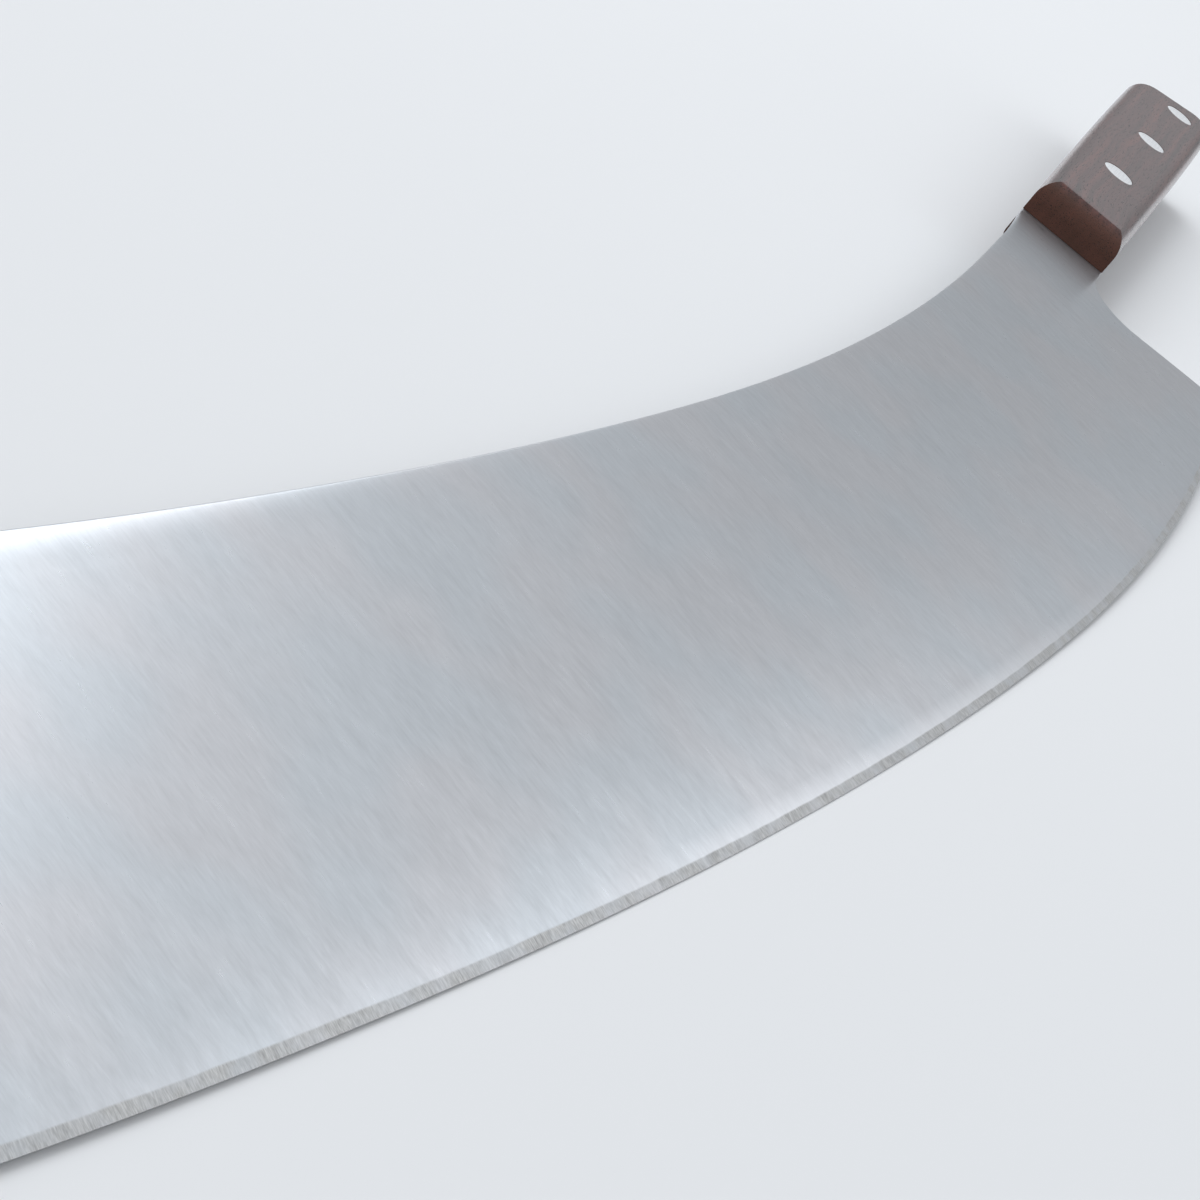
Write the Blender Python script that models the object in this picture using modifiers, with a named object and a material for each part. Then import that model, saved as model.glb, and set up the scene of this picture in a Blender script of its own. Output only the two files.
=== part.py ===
# Two-handled rocker knife: one curved blade with a full tang at each end, and riveted wooden scales.
# Plan view: X runs along the blade, Y from the cutting edge to the spine, Z out of the blade's face.

import bpy
import bmesh
from math import sin, cos, tan, asin, atan2, hypot, pi, radians, sqrt
from mathutils import Matrix, Vector

# Blade outline, in metres
BLADE_WIDTH = 0.0520  # from the belly of the edge to the spine, at the middle
BLADE_HALF_LENGTH = 0.2020  # from the middle to the tip of the edge
EDGE_BELLY_RADIUS = 0.890
EDGE_BELLY_HALF = 0.0813  # half the length of the belly's flat arc
EDGE_END_RADIUS = 0.532  # the edge curves more from there to the tips
EDGE_STEEPEST = radians(60)  # it would run on straight from this slope
SPINE_MIDDLE_RADIUS = 0.895
SPINE_MIDDLE_HALF = 0.0455
SPINE_END_RADIUS = 0.569
HEEL_LEAN = radians(22.2)  # the blade's end leans in from tip to handle
HEEL_FILLET = 0.0108  # hollow between the blade's end and the handle
TIP_ROUNDING = 0.0015

# Blade section
BLADE_THICKNESS = 0.0022
CORNER_EASING = 0.0002  # along the spine and round the tangs
GRIND_WIDTH = 0.056  # the flat taper would reach full thickness just past the spine
SHOULDER_THICKNESS = 0.0005  # where the taper meets the sharpened bevel
BEVEL_WIDTH = 0.0011
EDGE_THICKNESS = 0.00012
RUN_OUT_ANGLE = radians(4.5)  # the taper ends in a shallow ramp at each handle
RUN_OUT_END = 0.0008  # from the top of the ramp to the scales

# Handles
HANDLE_ANGLE = radians(15.4)  # they rise from the blade's line towards the spine's side
HANDLE_SETBACK = 0.0016  # the spine's corner of a handle lies this far short of the tip
HANDLE_RISE = 0.0007  # the spine flares up by this to meet the handle's upper side
FLARE_LENGTH = 0.018
HANDLE_LENGTH = 0.127  # along its middle line
HANDLE_FRONT_WIDTH = 0.0192
HANDLE_END_WIDTH = 0.0225
BUTT_SLANT = radians(24)
BUTT_UPPER_RADIUS = 0.008
BUTT_LOWER_RADIUS = 0.006
SCALE_THICKNESS = 0.0070
SCALE_ROUNDING = 0.0040  # along the outer long edges and round the butt
FRONT_SLOPE = radians(22)  # the scale's front leans back this much from upright

# Rivets
RIVETS_PER_HANDLE = 3
FIRST_RIVET = 0.0367  # from the handle's front
LAST_RIVET = 0.0125  # from the handle's end
RIVET_ROW_DROP = 0.0022  # the last rivet lies this much lower across the handle than the first
RIVET_HEAD_RADIUS = 0.0035
RIVET_HEAD_THICKNESS = 0.0022
RIVET_SHANK_RADIUS = 0.0024
RIVET_SHANK_WALL = 0.0008
SHANK_GAP = 0.0016  # between the hollow shank and the pin's head
PIN_GAP = 0.0006  # between the pin's end and the socket's head
HEAD_CHAMFER = 0.00015

CLEARANCE = 0.0003  # between pieces that touch

# How finely curves are divided
ARC_STEP = 0.009
SIDE_STEPS = 8
CORNER_STEPS = 8
ROUND_SEGMENTS = 5
TURN_STEPS = 24

# How cutters and modifiers work
SPARE = 0.003  # a cutter stands out of what it cuts by this
GRIND_OVERRUN = 0.025  # the sweep of the grind runs on past the tips
WELD = 0.00001
SQUARE_CORNER = radians(60)  # edges that turn more are bevelled
CORNER_SHARE = 0.95  # the most of a side that a rounded corner takes

FOOT_CORNER_X = BLADE_HALF_LENGTH - HANDLE_SETBACK
HALF_THICKNESS = BLADE_THICKNESS / 2
SCALE_BOTTOM = HALF_THICKNESS + CLEARANCE
SCALE_TOP = SCALE_BOTTOM + SCALE_THICKNESS
UNDER_HEAD = SCALE_TOP - RIVET_HEAD_THICKNESS
RIVET_SPACING = (HANDLE_LENGTH - FIRST_RIVET - LAST_RIVET) / max(1, RIVETS_PER_HANDLE - 1)
RIVET_STEP_DOWN = RIVET_ROW_DROP / max(1, RIVETS_PER_HANDLE - 1)


def clear_scene():
    for item in list(bpy.data.objects):
        bpy.data.objects.remove(item, do_unlink=True)


def new_collection(name):
    group = bpy.data.collections.new(name)
    bpy.context.scene.collection.children.link(group)
    return group


def make_material(name, colour, roughness, metallic):
    material = bpy.data.materials.new(name)
    material.use_nodes = True
    shader = material.node_tree.nodes["Principled BSDF"]
    shader.inputs["Base Color"].default_value = (*colour, 1)
    shader.inputs["Roughness"].default_value = roughness
    shader.inputs["Metallic"].default_value = metallic
    return material


def two_arc_height(x, inner_radius, inner_half, outer_radius, end_angle):
    """Height at x of a curve that starts level, with a flat arc and then a tighter one.

    Past end_angle the curve runs on straight.
    """
    x = abs(x)
    if x <= inner_half:
        return inner_radius - sqrt(inner_radius ** 2 - x ** 2)
    joint_angle = asin(inner_half / inner_radius)
    height = inner_radius * (1 - cos(joint_angle))
    outer_end = inner_half + outer_radius * (sin(end_angle) - sin(joint_angle))
    angle = asin(sin(joint_angle) + (min(x, outer_end) - inner_half) / outer_radius)
    height += outer_radius * (cos(joint_angle) - cos(angle))
    return height + max(0, x - outer_end) * tan(end_angle)


def edge_height(x):
    return two_arc_height(x, EDGE_BELLY_RADIUS, EDGE_BELLY_HALF, EDGE_END_RADIUS, EDGE_STEEPEST)


def spine_height(x):
    rise = two_arc_height(x, SPINE_MIDDLE_RADIUS, SPINE_MIDDLE_HALF, SPINE_END_RADIUS, HANDLE_ANGLE)
    flare = max(0, 1 - (FOOT_CORNER_X - abs(x)) / FLARE_LENGTH)
    return BLADE_WIDTH + rise + HANDLE_RISE * flare ** 2


def curve_points(height, start, end):
    count = max(2, round(abs(end - start) / ARC_STEP))
    xs = [start + (end - start) * i / count for i in range(count + 1)]
    return [Vector((x, height(x))) for x in xs]


def meeting_point(a, a_direction, b, b_direction):
    """Where two lines of the plan cross."""
    step = b - a
    along = step.cross(b_direction) / a_direction.cross(b_direction)
    return a + a_direction * along


def rounded_corner(before, corner, after, radius):
    """The arc that rounds a corner, limited by the two sides' lengths."""
    back = (before - corner).normalized()
    ahead = (after - corner).normalized()
    half_angle = back.angle(ahead) / 2
    shorter_side = min((before - corner).length, (after - corner).length)
    reach = min(radius / tan(half_angle), CORNER_SHARE * shorter_side)
    radius = reach * tan(half_angle)
    middle = corner + (back + ahead).normalized() * (radius / sin(half_angle))
    start = corner + back * reach - middle
    turn = (pi - 2 * half_angle) * (1 if start.cross(corner + ahead * reach - middle) > 0 else -1)
    steps = range(CORNER_STEPS + 1)
    return [middle + Matrix.Rotation(turn * i / CORNER_STEPS, 2) @ start for i in steps]


# The right handle's place: its axis leaves the foot's middle at HANDLE_ANGLE
HANDLE_DIRECTION = Vector((cos(HANDLE_ANGLE), sin(HANDLE_ANGLE)))
ACROSS_HANDLE = Vector((-sin(HANDLE_ANGLE), cos(HANDLE_ANGLE)))
FOOT_CORNER = Vector((FOOT_CORNER_X, spine_height(FOOT_CORNER_X)))
FOOT = FOOT_CORNER - ACROSS_HANDLE * HANDLE_FRONT_WIDTH / 2


def on_handle(along, across):
    """A point of the plan from its place along and across the right handle."""
    return FOOT + HANDLE_DIRECTION * along + ACROSS_HANDLE * across


def half_width(along):
    """Half the handle's width: it swells gently from the foot to the butt."""
    swell = sin(pi / 2 * max(0, min(1, along / HANDLE_LENGTH)))
    return (HANDLE_FRONT_WIDTH + (HANDLE_END_WIDTH - HANDLE_FRONT_WIDTH) * swell) / 2


def handle_side(start, end, hand):
    """One long side of the handle: hand is -1 on the edge's side and 1 on the spine's side."""
    places = [start + (end - start) * i / SIDE_STEPS for i in range(SIDE_STEPS)]
    return [on_handle(place, hand * half_width(place)) for place in places]


def handle_outline(start):
    """From the lower side's start round the butt to the upper side's start, on the right handle."""
    slant = tan(BUTT_SLANT) * HANDLE_END_WIDTH / 2
    lower_end = HANDLE_LENGTH + slant
    upper_end = HANDLE_LENGTH - slant
    lower_side = handle_side(start, lower_end - BUTT_LOWER_RADIUS, -1)
    upper_side = handle_side(start, upper_end - BUTT_UPPER_RADIUS, 1)
    lower_corner = on_handle(lower_end, -HANDLE_END_WIDTH / 2)
    upper_corner = on_handle(upper_end, HANDLE_END_WIDTH / 2)
    lower_arc = rounded_corner(lower_side[-1], lower_corner, upper_corner, BUTT_LOWER_RADIUS)
    upper_arc = rounded_corner(lower_corner, upper_corner, upper_side[-1], BUTT_UPPER_RADIUS)
    return lower_side + lower_arc + upper_arc + upper_side[::-1]


def blade_outline():
    """The whole plate, both tangs included, counterclockwise."""
    tip = Vector((BLADE_HALF_LENGTH, edge_height(BLADE_HALF_LENGTH)))
    heel_direction = Vector((-sin(HEEL_LEAN), cos(HEEL_LEAN)))
    handle = handle_outline(0)
    hollow = meeting_point(tip, heel_direction, handle[0], HANDLE_DIRECTION)
    edge = curve_points(edge_height, 0, BLADE_HALF_LENGTH)
    spine = curve_points(spine_height, FOOT_CORNER.x, 0)
    half = edge[:-1] + rounded_corner(edge[-2], tip, hollow, TIP_ROUNDING)
    half += rounded_corner(tip, hollow, handle[0], HEEL_FILLET)
    half += handle + spine[1:]
    other_half = [Vector((-point.x, point.y)) for point in half[1:-1]]
    return half + other_half[::-1]


def closed_curve(name, points, thickness, height):
    """A flat plate from an outline, as a filled 2D curve."""
    curve = bpy.data.curves.new(name, "CURVE")
    curve.dimensions = "2D"
    curve.fill_mode = "BOTH"
    curve.extrude = thickness / 2
    spline = curve.splines.new("POLY")
    spline.points.add(len(points) - 1)
    for place, point in zip(spline.points, points):
        place.co = (point.x, point.y, 0, 1)
    spline.use_cyclic_u = True
    item = bpy.data.objects.new(name, curve)
    item.location.z = height
    return item


def as_mesh(curve_object, name, group):
    """The curve object's evaluated shape as a mesh object, with welded caps of one face each."""
    bpy.context.scene.collection.objects.link(curve_object)
    bpy.context.view_layer.update()
    evaluated = curve_object.evaluated_get(bpy.context.evaluated_depsgraph_get())
    mesh = bpy.data.meshes.new_from_object(evaluated)
    mesh.name = name
    shape = bmesh.new()
    shape.from_mesh(mesh)
    bmesh.ops.remove_doubles(shape, verts=shape.verts, dist=WELD)
    bmesh.ops.recalc_face_normals(shape, faces=shape.faces)
    inner = [edge for edge in shape.edges if edge.calc_face_angle(pi) < radians(0.01)]
    bmesh.ops.dissolve_edges(shape, edges=inner)
    shape.to_mesh(mesh)
    shape.free()
    place = curve_object.matrix_world.copy()
    bpy.data.objects.remove(curve_object, do_unlink=True)
    item = bpy.data.objects.new(name, mesh)
    item.matrix_world = place
    group.objects.link(item)
    return item


def hide_cutter(item):
    item.hide_render = True
    item.display_type = "WIRE"
    return item


def cut(item, cutter):
    boolean = item.modifiers.new("cut " + cutter.name, "BOOLEAN")
    boolean.operation = "DIFFERENCE"
    boolean.solver = "EXACT"
    boolean.object = cutter


def turned(name, profile, group):
    """A solid of revolution about Z: the profile's (radius, z) points run down its outer side."""
    mesh = bpy.data.meshes.new(name)
    points = [(radius, 0, z) for radius, z in profile]
    mesh.from_pydata(points, [(i, i + 1) for i in range(len(points) - 1)], [])
    item = bpy.data.objects.new(name, mesh)
    group.objects.link(item)
    screw = item.modifiers.new("turn", "SCREW")
    screw.angle = 2 * pi
    screw.steps = TURN_STEPS
    screw.render_steps = TURN_STEPS
    screw.use_merge_vertices = True
    screw.merge_threshold = WELD
    return item


def handle_matrix(mirrored):
    """Stands at a handle's foot, with its X along the handle and its Z out of the front face."""
    if mirrored:
        turn = Matrix.Rotation(pi - HANDLE_ANGLE, 4, "Z")
        return Matrix.Translation((-FOOT.x, FOOT.y, 0)) @ turn
    return Matrix.Translation((FOOT.x, FOOT.y, 0)) @ Matrix.Rotation(HANDLE_ANGLE, 4, "Z")


def block_across_handle(name, levels, near, far, width, mirrored, side, cutters):
    """A six-sided cutter at a handle's foot, on one side of the plate.

    near and far give the place of its two ends along the handle at a level above the plate's middle.
    """
    mesh = bpy.data.meshes.new(name)
    shape = bmesh.new()
    bmesh.ops.create_cube(shape, size=1)
    for vert in shape.verts:
        level = levels[1] if vert.co.z > 0 else levels[0]
        end = far if vert.co.x > 0 else near
        vert.co = (end(level), vert.co.y * width, side * level)
    if side < 0:
        bmesh.ops.reverse_faces(shape, faces=shape.faces)
    shape.to_mesh(mesh)
    shape.free()
    block = bpy.data.objects.new(name, mesh)
    block.matrix_world = handle_matrix(mirrored)
    cutters.objects.link(block)
    return hide_cutter(block)


def tang_guard(mirrored, side, cutters):
    """Keeps the grind off one face of a tang: the taper runs out on this block's sloping end."""
    def ramp(level):
        return (level - HALF_THICKNESS) / tan(RUN_OUT_ANGLE) - RUN_OUT_END

    def behind(level):
        return ramp(level) + 2 * HANDLE_LENGTH

    levels = (0, HALF_THICKNESS + 2 * SPARE)
    return block_across_handle(
        "tang guard", levels, ramp, behind, 2 * BLADE_WIDTH, mirrored, side, cutters)


def front_cutter(mirrored, side, cutters):
    """Slopes the scale's front, so that it leans back over the handle."""
    def slope(level):
        return (level - SCALE_BOTTOM) * tan(FRONT_SLOPE)

    def before(level):
        return slope(level) - 4 * SCALE_ROUNDING - 2 * SCALE_THICKNESS

    levels = (SCALE_BOTTOM - CLEARANCE, SCALE_TOP + SPARE)
    return block_across_handle(
        "front wedge", levels, before, slope, 2 * HANDLE_END_WIDTH, mirrored, side, cutters)


def grind_cutter(side, cutters):
    """Takes the taper and the sharpened bevel off one face, along the curved edge."""
    top = HALF_THICKNESS + SPARE
    section = [
        (GRIND_WIDTH, HALF_THICKNESS),
        (BEVEL_WIDTH, SHOULDER_THICKNESS / 2),
        (0, EDGE_THICKNESS / 2),
        (-SPARE, EDGE_THICKNESS / 2),
        (-SPARE, top),
        (GRIND_WIDTH, top),
    ]
    profile = bpy.data.curves.new("grind section", "CURVE")
    profile.dimensions = "2D"
    spline = profile.splines.new("POLY")
    spline.points.add(len(section) - 1)
    for place, (inwards, z) in zip(spline.points, section):
        place.co = (-inwards, side * z, 0, 1)
    spline.use_cyclic_u = True
    profile_object = hide_cutter(bpy.data.objects.new("grind section", profile))
    cutters.objects.link(profile_object)

    end = BLADE_HALF_LENGTH + GRIND_OVERRUN
    path_points = curve_points(edge_height, 0, BLADE_HALF_LENGTH)
    path_points += curve_points(edge_height, BLADE_HALF_LENGTH, end)[1:]
    path_points = [Vector((-point.x, point.y)) for point in path_points[:0:-1]] + path_points
    path = bpy.data.curves.new("grind path", "CURVE")
    path.dimensions = "2D"
    path.fill_mode = "NONE"
    path.bevel_mode = "OBJECT"
    path.bevel_object = profile_object
    path.use_fill_caps = True
    spline = path.splines.new("POLY")
    spline.points.add(len(path_points) - 1)
    for place, point in zip(spline.points, path_points):
        place.co = (point.x, point.y, 0, 1)
    name = "front grind" if side > 0 else "back grind"
    sweep = as_mesh(bpy.data.objects.new(name, path), name, cutters)
    for mirrored in (False, True):
        cut(sweep, tang_guard(mirrored, side, cutters))
    return hide_cutter(sweep)


def rivet_seats(mirrored):
    """Where a handle's rivets stand: their row runs a little towards the edge's side."""
    down = 1 if mirrored else -1
    steps = [Vector((RIVET_SPACING, down * RIVET_STEP_DOWN, 0)) * i for i in range(RIVETS_PER_HANDLE)]
    first = Vector((FIRST_RIVET, 0, 0))
    return [handle_matrix(mirrored) @ Matrix.Translation(first + step) for step in steps]


def hole_cutters(name, profile, mirrored, cutters, upside_down=False):
    """One turned cutter for each rivet of a handle."""
    found = []
    for seat in rivet_seats(mirrored):
        cutter = turned(name, profile, cutters)
        flip = Matrix.Rotation(pi, 4, "X") if upside_down else Matrix.Identity(4)
        cutter.matrix_world = seat @ flip
        found.append(hide_cutter(cutter))
    return found


def make_blade(parts, cutters, steel):
    plate = closed_curve("blade", blade_outline(), BLADE_THICKNESS, 0)
    blade = as_mesh(plate, "blade", parts)
    easing = blade.modifiers.new("eased corners", "BEVEL")
    easing.width = CORNER_EASING
    easing.segments = 1
    easing.limit_method = "ANGLE"
    easing.angle_limit = SQUARE_CORNER
    for side in (1, -1):
        cut(blade, grind_cutter(side, cutters))
    radius = RIVET_SHANK_RADIUS + CLEARANCE
    reach = HALF_THICKNESS + SPARE
    profile = [(0, reach), (radius, reach), (radius, -reach), (0, -reach)]
    for mirrored in (False, True):
        for cutter in hole_cutters("tang hole", profile, mirrored, cutters):
            cut(blade, cutter)
    blade.data.materials.append(steel)
    return blade


def round_outer_edge(scale, side):
    """Rounds the rim of the scale's outer face."""
    shape = bmesh.new()
    shape.from_mesh(scale.data)
    bmesh.ops.recalc_face_normals(shape, faces=shape.faces)
    rim = [edge for edge in shape.edges if edge.calc_face_angle(0) > SQUARE_CORNER
           and all(abs(vert.co.z - side * SCALE_TOP) < WELD for vert in edge.verts)]
    bmesh.ops.bevel(
        shape, geom=rim, offset=SCALE_ROUNDING, segments=ROUND_SEGMENTS,
        profile=0.5, affect="EDGES", clamp_overlap=True,
    )
    bmesh.ops.triangulate(shape, faces=[face for face in shape.faces if len(face.verts) > 4])
    shape.to_mesh(scale.data)
    shape.free()


def make_scale(name, mirrored, side, parts, cutters, wood):
    """One wooden scale: outline of the tang, rounded outer edges, sloped front, stepped bores."""
    middle = (SCALE_BOTTOM + SCALE_TOP) / 2
    outline = handle_outline(-2 * SCALE_ROUNDING)
    scale = as_mesh(closed_curve(name, outline, SCALE_THICKNESS, middle), name, parts)
    mirror = Matrix.Diagonal((-1 if mirrored else 1, 1, side, 1))
    scale.data.transform(mirror @ scale.matrix_world)
    scale.matrix_world = Matrix.Identity(4)
    round_outer_edge(scale, side)

    cut(scale, front_cutter(mirrored, side, cutters))
    bore = RIVET_SHANK_RADIUS + CLEARANCE
    seat = RIVET_HEAD_RADIUS + CLEARANCE
    floor = UNDER_HEAD - CLEARANCE
    above = SCALE_TOP + SPARE
    profile = [(0, above), (seat, above), (seat, floor), (bore, floor), (bore, 0), (0, 0)]
    for cutter in hole_cutters("scale bore", profile, mirrored, cutters, upside_down=side < 0):
        cut(scale, cutter)
    scale.data.materials.append(wood)
    return scale


def rivet_socket_profile():
    """Flat head in the front scale and a hollow shank below it."""
    end = SHANK_GAP - UNDER_HEAD
    hollow = RIVET_SHANK_RADIUS - RIVET_SHANK_WALL
    return [
        (0, SCALE_TOP),
        (RIVET_HEAD_RADIUS - HEAD_CHAMFER, SCALE_TOP),
        (RIVET_HEAD_RADIUS, SCALE_TOP - HEAD_CHAMFER),
        (RIVET_HEAD_RADIUS, UNDER_HEAD),
        (RIVET_SHANK_RADIUS, UNDER_HEAD),
        (RIVET_SHANK_RADIUS, end),
        (hollow, end),
        (hollow, UNDER_HEAD),
        (0, UNDER_HEAD),
    ]


def rivet_pin_profile():
    """Flat head in the back scale and a solid pin, drawn with its head on top."""
    end = PIN_GAP - UNDER_HEAD
    pin = RIVET_SHANK_RADIUS - RIVET_SHANK_WALL - CLEARANCE
    return [
        (0, SCALE_TOP),
        (RIVET_HEAD_RADIUS - HEAD_CHAMFER, SCALE_TOP),
        (RIVET_HEAD_RADIUS, SCALE_TOP - HEAD_CHAMFER),
        (RIVET_HEAD_RADIUS, UNDER_HEAD),
        (pin, UNDER_HEAD),
        (pin, end),
        (0, end),
    ]


def make_rivets(hand, mirrored, parts, steel):
    flip = Matrix.Rotation(pi, 4, "X")
    for number, seat in enumerate(rivet_seats(mirrored), 1):
        socket = turned(f"rivet_socket_{hand}_{number}", rivet_socket_profile(), parts)
        socket.matrix_world = seat
        pin = turned(f"rivet_pin_{hand}_{number}", rivet_pin_profile(), parts)
        pin.matrix_world = seat @ flip
        for piece in (socket, pin):
            piece.data.materials.append(steel)


def rest_tilt():
    """The knife lies on its belly and on both handles: the plate's tilt about X.

    The line from the edge's belly to the lower rounding of the back scales touches both.
    """
    foot_depth = SCALE_THICKNESS * tan(FRONT_SLOPE)
    flat_half = half_width(foot_depth) - SCALE_ROUNDING
    reach = on_handle(foot_depth, -flat_half).y
    drop = SCALE_TOP - SCALE_ROUNDING - EDGE_THICKNESS / 2
    return asin(SCALE_ROUNDING / hypot(reach, drop)) + atan2(drop, reach)


def set_down(parts, knife):
    """Stands the tilted knife on Z = 0, with the middle of its box over the origin."""
    knife.rotation_euler.x = rest_tilt()
    bpy.context.view_layer.update()
    graph = bpy.context.evaluated_depsgraph_get()
    corners = []
    for item in parts.objects:
        if item.type == "MESH":
            evaluated = item.evaluated_get(graph)
            corners += [evaluated.matrix_world @ vert.co for vert in evaluated.data.vertices]
    ys = [corner.y for corner in corners]
    knife.location.y = -(min(ys) + max(ys)) / 2
    knife.location.z = -min(corner.z for corner in corners)


def smooth_by_angle(name, angle):
    """Node group for a modifier: smooth faces, with a sharp edge wherever they turn by more."""
    group = bpy.data.node_groups.new(name, "GeometryNodeTree")
    group.is_modifier = True
    group.interface.new_socket("Geometry", in_out="INPUT", socket_type="NodeSocketGeometry")
    group.interface.new_socket("Geometry", in_out="OUTPUT", socket_type="NodeSocketGeometry")
    start = group.nodes.new("NodeGroupInput")
    faces = group.nodes.new("GeometryNodeSetShadeSmooth")
    faces.domain = "FACE"
    turn = group.nodes.new("GeometryNodeInputMeshEdgeAngle")
    compare = group.nodes.new("FunctionNodeCompare")
    compare.data_type = "FLOAT"
    compare.operation = "GREATER_THAN"
    compare.inputs["B"].default_value = angle
    edges = group.nodes.new("GeometryNodeSetShadeSmooth")
    edges.domain = "EDGE"
    edges.inputs["Shade Smooth"].default_value = False
    end = group.nodes.new("NodeGroupOutput")
    group.links.new(start.outputs["Geometry"], faces.inputs["Geometry"])
    group.links.new(faces.outputs["Geometry"], edges.inputs["Geometry"])
    group.links.new(turn.outputs["Unsigned Angle"], compare.inputs["A"])
    group.links.new(compare.outputs["Result"], edges.inputs["Selection"])
    group.links.new(edges.outputs["Geometry"], end.inputs["Geometry"])
    return group


def shade(item, node_group):
    smooth = item.modifiers.new("smooth by angle", "NODES")
    smooth.node_group = node_group
    weights = item.modifiers.new("weighted normals", "WEIGHTED_NORMAL")
    weights.keep_sharp = True


def build():
    clear_scene()
    parts = new_collection("mezzaluna")
    cutters = new_collection("cutters")
    steel = make_material("brushed steel", (0.52, 0.54, 0.57), 0.32, 1.0)
    wood = make_material("oiled rosewood", (0.065, 0.028, 0.017), 0.42, 0.0)
    rivet_steel = make_material("polished rivet steel", (0.68, 0.69, 0.71), 0.2, 1.0)

    blade = make_blade(parts, cutters, steel)
    for hand, mirrored in (("right", False), ("left", True)):
        for face, side in (("front", 1), ("back", -1)):
            make_scale(f"scale_{face}_{hand}", mirrored, side, parts, cutters, wood)
        make_rivets(hand, mirrored, parts, rivet_steel)

    keep_ground_lines = smooth_by_angle("smooth under 3 degrees", radians(3))
    keep_corners = smooth_by_angle("smooth under 30 degrees", radians(30))
    for item in parts.objects:
        shade(item, keep_ground_lines if item is blade else keep_corners)

    knife = bpy.data.objects.new("knife", None)
    parts.objects.link(knife)
    for item in list(parts.objects) + list(cutters.objects):
        if item is not knife:
            item.parent = knife
    set_down(parts, knife)


build()
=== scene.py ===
from math import sin, cos, tan, asin, pi, radians, sqrt

import bmesh
import bpy
from mathutils import Matrix, Vector


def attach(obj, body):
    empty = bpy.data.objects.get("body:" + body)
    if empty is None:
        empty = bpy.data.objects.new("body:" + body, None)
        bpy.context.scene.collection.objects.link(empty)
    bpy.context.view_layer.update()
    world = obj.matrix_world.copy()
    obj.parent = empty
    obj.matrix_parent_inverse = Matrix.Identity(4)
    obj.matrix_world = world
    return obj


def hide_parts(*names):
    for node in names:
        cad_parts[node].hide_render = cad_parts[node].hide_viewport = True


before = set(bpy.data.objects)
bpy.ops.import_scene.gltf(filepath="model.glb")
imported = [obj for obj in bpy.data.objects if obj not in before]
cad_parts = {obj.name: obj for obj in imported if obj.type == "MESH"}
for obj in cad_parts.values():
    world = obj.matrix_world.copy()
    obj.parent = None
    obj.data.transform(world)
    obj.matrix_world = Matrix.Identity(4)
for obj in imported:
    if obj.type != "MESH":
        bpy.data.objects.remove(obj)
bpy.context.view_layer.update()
print("frame loaded:", len(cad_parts), "nodes")


# Small helpers

def hexColour(text):
    channels = [int(text[i:i + 2], 16) / 255 for i in (1, 3, 5)]
    return [c / 12.92 if c <= 0.04045 else ((c + 0.055) / 1.055) ** 2.4 for c in channels] + [1]


def addNode(tree, kind, settings=None, links=None):
    # A key is a value of the node itself, the name or number of an input, or "stops" on a ramp.
    # Mix nodes go by number: 0 the mask, 2 and 3 two numbers, 6 and 7 two colours
    node = tree.nodes.new(kind)
    for key, value in (settings or {}).items():
        if key == "stops":
            setStops(node.color_ramp.elements, value)
        elif isinstance(key, str) and hasattr(node, key):
            setattr(node, key, value)
        else:
            node.inputs[key].default_value = value
    for key, source in (links or {}).items():
        tree.links.new(source, node.inputs[key])
    return node


def setStops(elements, stops):
    while len(elements) < len(stops):
        elements.new(0.5)
    for element, (place, colour) in zip(elements, stops):
        element.position = place
        element.color = colour


def newMaterial(name, settings):
    material = bpy.data.materials.new(name)
    material.use_nodes = True
    tree = material.node_tree
    shader = tree.nodes["Principled BSDF"]
    for key, value in settings.items():
        shader.inputs[key].default_value = value
    return material, tree, shader


def grey(value):
    return [value, value, value, 1]


def stretchedNoise(tree, coords, sizesMm, detail, roughness=0.5, turn=0):
    # Noise with grains of these sizes along X, Y and Z
    placed = addNode(tree, "ShaderNodeMapping", links={"Vector": coords})
    placed.inputs["Rotation"].default_value = (0, 0, turn)
    placed.inputs["Scale"].default_value = [1000 / size for size in sizesMm]
    noise = addNode(tree, "ShaderNodeTexNoise", {"Scale": 1.0, "Detail": detail, "Roughness": roughness},
                    {"Vector": placed.outputs[0]})
    return noise.outputs["Fac"]


# How the knife lies: on the belly of its edge and on both handles, so the plate leans a little
knife = {
    "tiltDegrees": 6.955435,
    "location": (0, -0.0575576, 0.000115),
}
knifePlace = Matrix.Translation(knife["location"]) @ Matrix.Rotation(radians(knife["tiltDegrees"]), 4, "X")


# Camera first, because the framing decides how fine everything has to be
camera = {
    "location": (-0.1782, -0.101402, 0.110117),
    "turnDegrees": (57.3404, -26.9611, -51.1115),
    "lens": 63.0,
    "sensor": 36.0,
    "clipStart": 0.005,
    "clipEnd": 50,
}
cameraData = bpy.data.cameras.new("camera")
cameraData.lens = camera["lens"]
cameraData.sensor_width = camera["sensor"]
cameraData.clip_start = camera["clipStart"]
cameraData.clip_end = camera["clipEnd"]
cameraObject = bpy.data.objects.new("camera", cameraData)
cameraObject.location = camera["location"]
cameraObject.rotation_euler = [radians(a) for a in camera["turnDegrees"]]
bpy.context.scene.collection.objects.link(cameraObject)
bpy.context.scene.camera = cameraObject
print("camera placed")


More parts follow.
